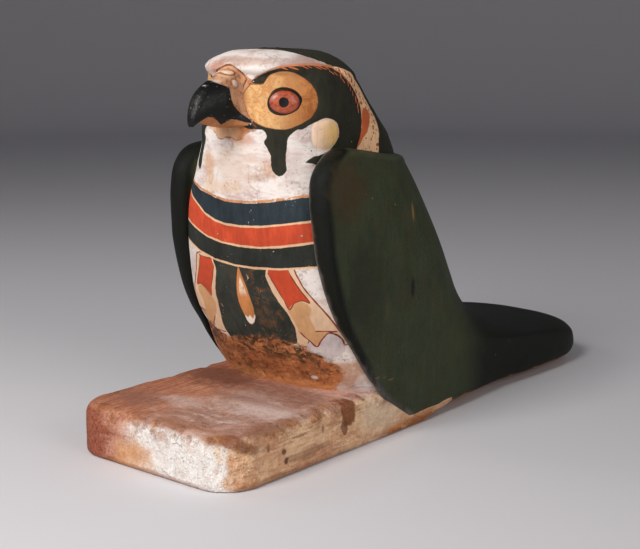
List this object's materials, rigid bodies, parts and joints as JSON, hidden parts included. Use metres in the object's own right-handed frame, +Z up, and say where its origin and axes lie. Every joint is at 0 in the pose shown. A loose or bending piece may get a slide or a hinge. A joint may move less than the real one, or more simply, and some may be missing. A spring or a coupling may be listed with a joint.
{
  "type": "painted wooden falcon figure",
  "caption": "Carved and painted wooden falcon squatting on a low plinth, with folded wings, banded collar, hooked beak and a broad flat tail.",
  "frame": {"origin": "middle of the footprint's bounding box, on the surface that the plinth stands on", "axes": "+Z up, -Y the way the bird looks, +X the bird's left side"},
  "size_m": [0.204, 0.639, 0.366],
  "materials": {
    "painted_gesso_on_wood": "matte paint on white plaster over wood, worn, stained and chipped"
  },
  "bodies": {
    "root": {"falcon_on_plinth": "painted_gesso_on_wood"}
  },
  "joints": []
}
